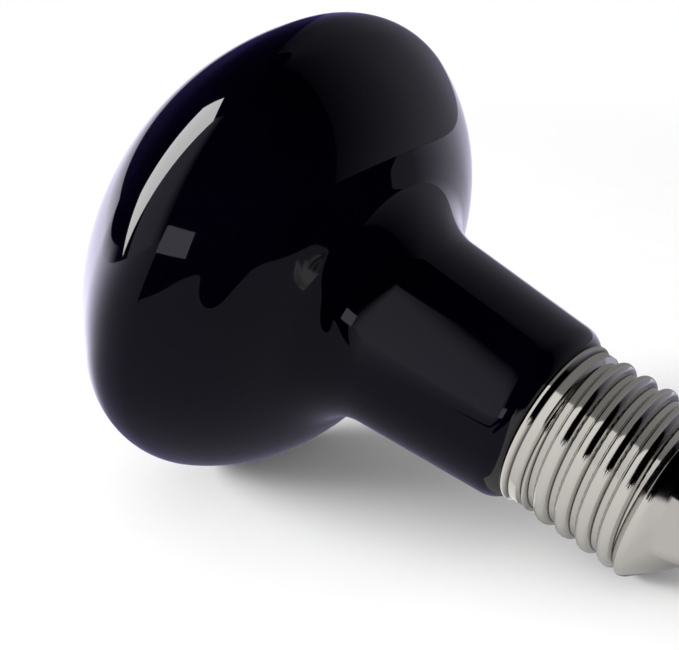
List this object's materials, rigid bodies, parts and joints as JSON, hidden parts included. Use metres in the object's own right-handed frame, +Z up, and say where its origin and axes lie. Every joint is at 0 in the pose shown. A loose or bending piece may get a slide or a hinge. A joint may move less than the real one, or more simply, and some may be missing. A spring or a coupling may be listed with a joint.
{
  "type": "reflector heat lamp bulb",
  "caption": "Dark glass reflector heat lamp with a wide domed head, a tapered neck and a nickel screw cap with a centre contact; it screws into a lamp holder to warm a night enclosure.",
  "frame": {"origin": "middle of the lamp's bounding box, on the floor that it lies on", "axes": "+X from the head to the screw cap, along the floor below the lamp's axis; +Z up; the lamp's axis lies in the XZ plane and rises from the cap to the head"},
  "size_m": [0.1066, 0.081, 0.0771],
  "materials": {
    "night_glass": "blown glass, near-black violet, mirror gloss",
    "nickel": "polished nickel plate",
    "black_glass": "pressed black glass, gloss",
    "brass": "stamped, bright",
    "solder": "frozen tin solder, satin",
    "cement": "baked, matt",
    "lead_wire": "drawn wire"
  },
  "bodies": {
    "root": {"glass_bulb": "night_glass", "screw_shell": "nickel", "insulator": "black_glass", "contact_plate": "brass", "contact_solder": "solder", "capping_cement": "cement", "centre_lead": "lead_wire", "side_lead": "lead_wire"}
  },
  "joints": []
}
